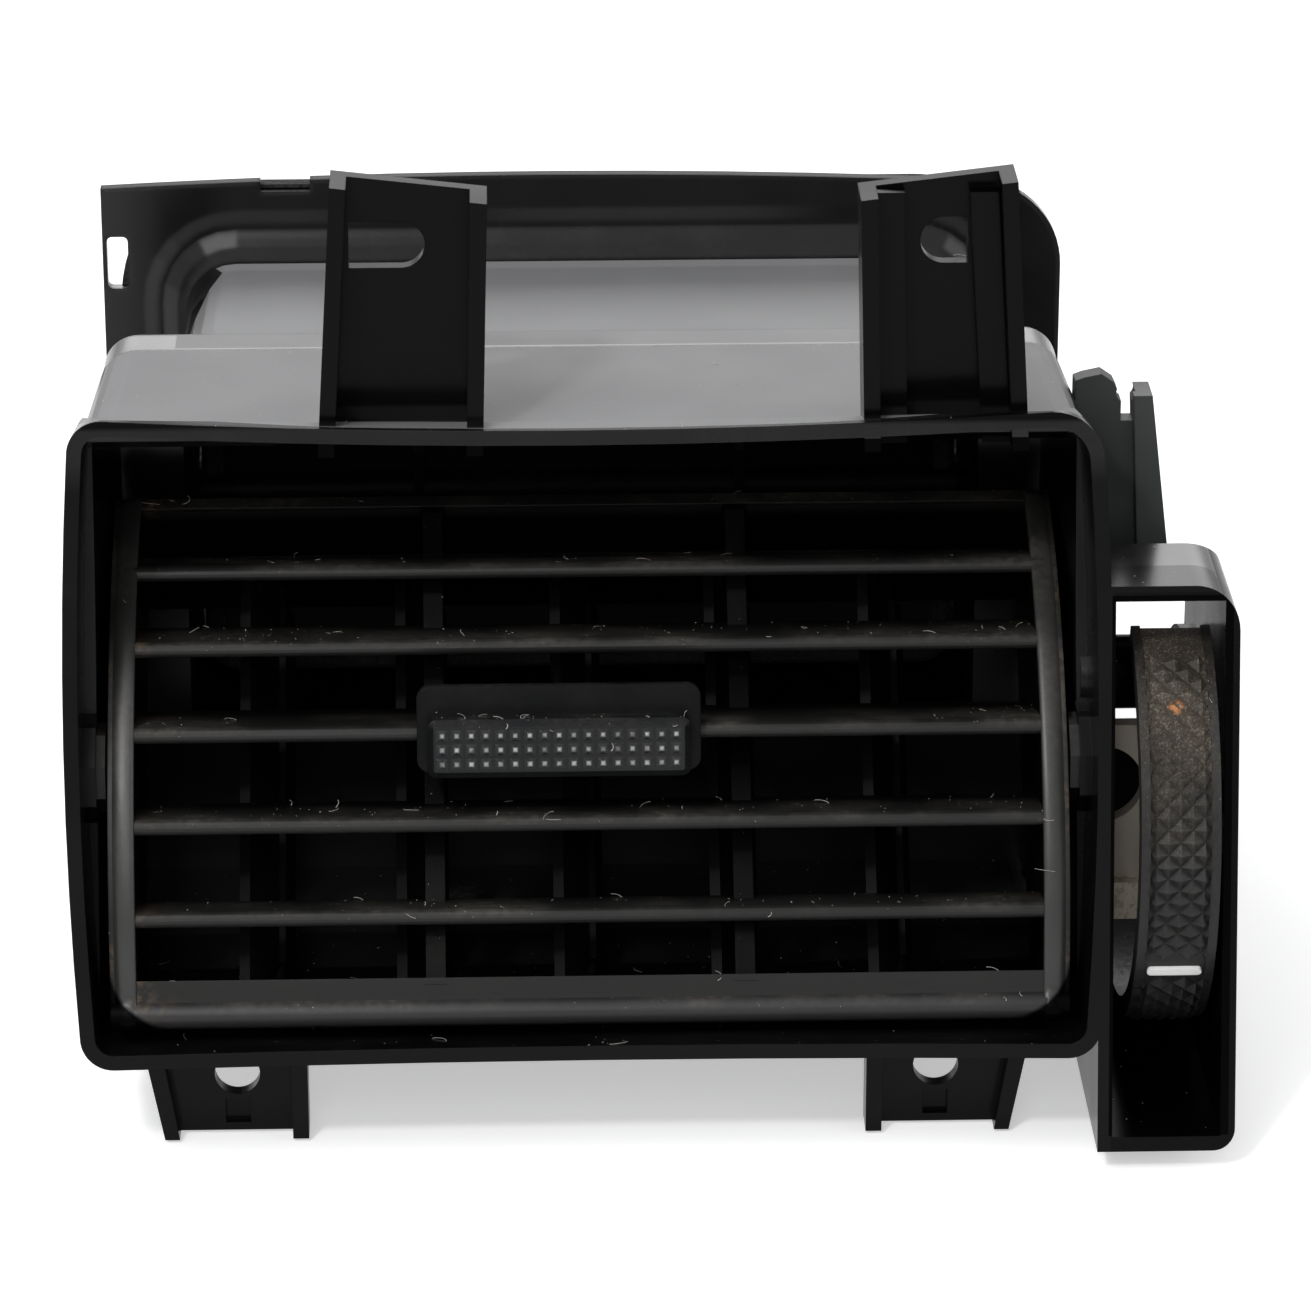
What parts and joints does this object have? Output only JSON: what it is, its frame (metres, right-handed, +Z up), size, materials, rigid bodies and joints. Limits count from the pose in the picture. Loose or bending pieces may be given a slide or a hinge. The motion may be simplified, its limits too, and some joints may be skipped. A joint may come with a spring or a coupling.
{
  "type": "dashboard air vent",
  "caption": "Dashboard air vent with a tilting louvre drum, sliding thumb grip that swivels vanes, and a thumbwheel that shuts a flap in the rear duct.",
  "frame": {"origin": "midway between the two lower fixing holes, on the front face of their webs", "axes": "+X to the right seen from the seats, +Y to the rear into the dashboard, +Z up"},
  "size_m": [0.1573, 0.1224, 0.133],
  "materials": {
    "gloss_black": "high gloss front rim, satin behind",
    "duct_plastic": "satin",
    "arm_plastic": "matte",
    "foam": "open foam",
    "drum_plastic": "fine grain",
    "vane_plastic": "satin",
    "slider_plastic": "satin",
    "grip_rubber": "studded",
    "wheel_rubber": "knurled, dusty",
    "mark_white": "satin",
    "pin_steel": "satin",
    "dusty_plastic": "dusty",
    "bush_plastic": "smooth",
    "rod_plastic": "smooth",
    "flap_plastic": "satin"
  },
  "bodies": {
    "housing": {"front_housing": "gloss_black", "side_arm": "arm_plastic", "rear_duct": "duct_plastic", "inlet_gasket": "foam", "wheel_axle": "pin_steel", "wheel_carrier": "dusty_plastic", "drum_bush_left": "bush_plastic", "drum_bush_right": "bush_plastic", "flap_bush_left": "bush_plastic", "flap_bush_right": "bush_plastic"},
    "drum": {"louvre_drum": "drum_plastic"},
    "link": {"vane_link": "vane_plastic"},
    "slider": {"slider_clip": "slider_plastic", "slider_grip": "grip_rubber"},
    "wheel": {"thumbwheel": "wheel_rubber", "wheel_mark": "mark_white"},
    "rod": {"link_rod": "rod_plastic"},
    "flap": {"flap": "flap_plastic", "flap_seal_front": "foam", "flap_seal_rear": "foam", "flap_crank": "rod_plastic"},
    "vane_1": {"vane_1": "vane_plastic"},
    "vane_2": {"vane_2": "vane_plastic"},
    "vane_3": {"vane_3": "vane_plastic"},
    "vane_4": {"vane_4": "vane_plastic"},
    "vane_5": {"vane_5": "vane_plastic"}
  },
  "joints": [
    {"name": "drum_tilt", "type": "hinge", "parent": "housing", "child": "drum", "pos_m": [0.0005, 0.009, 0.0421], "axis": [1, 0, 0], "range_deg": [0, 50]},
    {"name": "slider_slide", "type": "slide", "parent": "drum", "child": "slider", "axis": [1, 0, 0], "range_m": [-0.0027, 0.0107]},
    {"name": "link_slide", "type": "slide", "parent": "drum", "child": "link", "axis": [1, 0, 0], "range_m": [-0.002, 0.0078]},
    {"name": "wheel_turn", "type": "hinge", "parent": "housing", "child": "wheel", "pos_m": [0.0795, 0.0188, 0.0316], "axis": [-1, 0, 0], "range_deg": [0, 70]},
    {"name": "rod_swing", "type": "hinge", "parent": "wheel", "child": "rod", "pos_m": [0.0725, 0.02726, 0.02852], "axis": [-1, 0, 0], "range_deg": [-70.5, 0.5]},
    {"name": "flap_turn", "type": "hinge", "parent": "housing", "child": "flap", "pos_m": [0.0005, 0.0775, 0.0568], "axis": [-1, 0, 0], "range_deg": [-0.5, 70.5]},
    {"name": "vane_1_turn", "type": "hinge", "parent": "drum", "child": "vane_1", "pos_m": [-0.0425, 0.02719, 0.02722], "axis": [0, 0.6334, 0.7738], "range_deg": [-13.5, 51.5]},
    {"name": "vane_2_turn", "type": "hinge", "parent": "drum", "child": "vane_2", "pos_m": [-0.021, 0.02719, 0.02722], "axis": [0, 0.6334, 0.7738], "range_deg": [-13.5, 51.5]},
    {"name": "vane_3_turn", "type": "hinge", "parent": "drum", "child": "vane_3", "pos_m": [0.0005, 0.02719, 0.02722], "axis": [0, 0.6334, 0.7738], "range_deg": [-13.5, 51.5]},
    {"name": "vane_4_turn", "type": "hinge", "parent": "drum", "child": "vane_4", "pos_m": [0.022, 0.02719, 0.02722], "axis": [0, 0.6334, 0.7738], "range_deg": [-13.5, 51.5]},
    {"name": "vane_5_turn", "type": "hinge", "parent": "drum", "child": "vane_5", "pos_m": [0.0435, 0.02719, 0.02722], "axis": [0, 0.6334, 0.7738], "range_deg": [-13.5, 51.5]}
  ],
  "couplings": [
    {"joint": "link_slide", "follows": "slider_slide", "ratio": 0.72},
    {"joint": "rod_swing", "follows": "wheel_turn", "ratio": -1},
    {"joint": "flap_turn", "follows": "wheel_turn", "ratio": 1},
    {"joint": "vane_1_turn", "follows": "slider_slide", "rad_per_m": 83.333},
    {"joint": "vane_2_turn", "follows": "slider_slide", "rad_per_m": 83.333},
    {"joint": "vane_3_turn", "follows": "slider_slide", "rad_per_m": 83.333},
    {"joint": "vane_4_turn", "follows": "slider_slide", "rad_per_m": 83.333},
    {"joint": "vane_5_turn", "follows": "slider_slide", "rad_per_m": 83.333}
  ]
}
